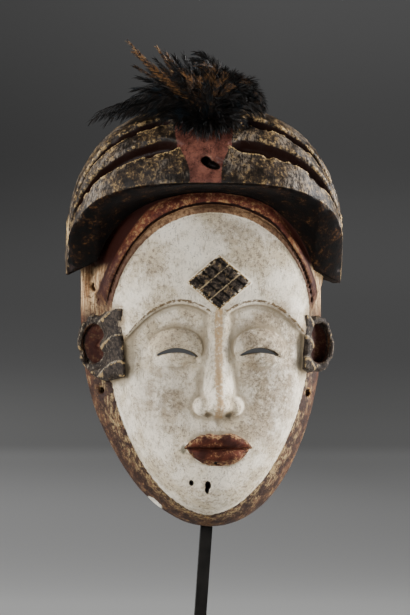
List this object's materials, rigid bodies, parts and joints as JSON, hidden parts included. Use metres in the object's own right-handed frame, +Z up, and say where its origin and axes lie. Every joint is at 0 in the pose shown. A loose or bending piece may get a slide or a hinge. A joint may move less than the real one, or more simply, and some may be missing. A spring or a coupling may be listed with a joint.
{
  "type": "punu mask",
  "caption": "Carved white-faced dance mask with a banded headdress and a feather tuft, on a leaning steel bar with a flat foot.",
  "frame": {"origin": "centre of the stand foot's underside", "axes": "+Z up; the face looks along -Y; +X is to the right of someone who looks at the face"},
  "size_m": [0.2018, 0.1863, 0.4763],
  "materials": {
    "painted_wood": "matt, painted with kaolin and worn",
    "cock_feather": "soft, dark with ginger barbs",
    "black_steel": "satin black"
  },
  "bodies": {
    "root": {"mask": "painted_wood", "feather_01": "cock_feather", "feather_02": "cock_feather", "feather_03": "cock_feather", "feather_04": "cock_feather", "feather_05": "cock_feather", "feather_06": "cock_feather", "feather_07": "cock_feather", "feather_08": "cock_feather", "feather_09": "cock_feather", "feather_10": "cock_feather", "feather_11": "cock_feather", "feather_12": "cock_feather", "feather_13": "cock_feather", "feather_14": "cock_feather", "feather_15": "cock_feather", "feather_16": "cock_feather", "feather_17": "cock_feather", "feather_18": "cock_feather", "stand_rod": "black_steel", "stand_foot": "black_steel"}
  },
  "joints": []
}
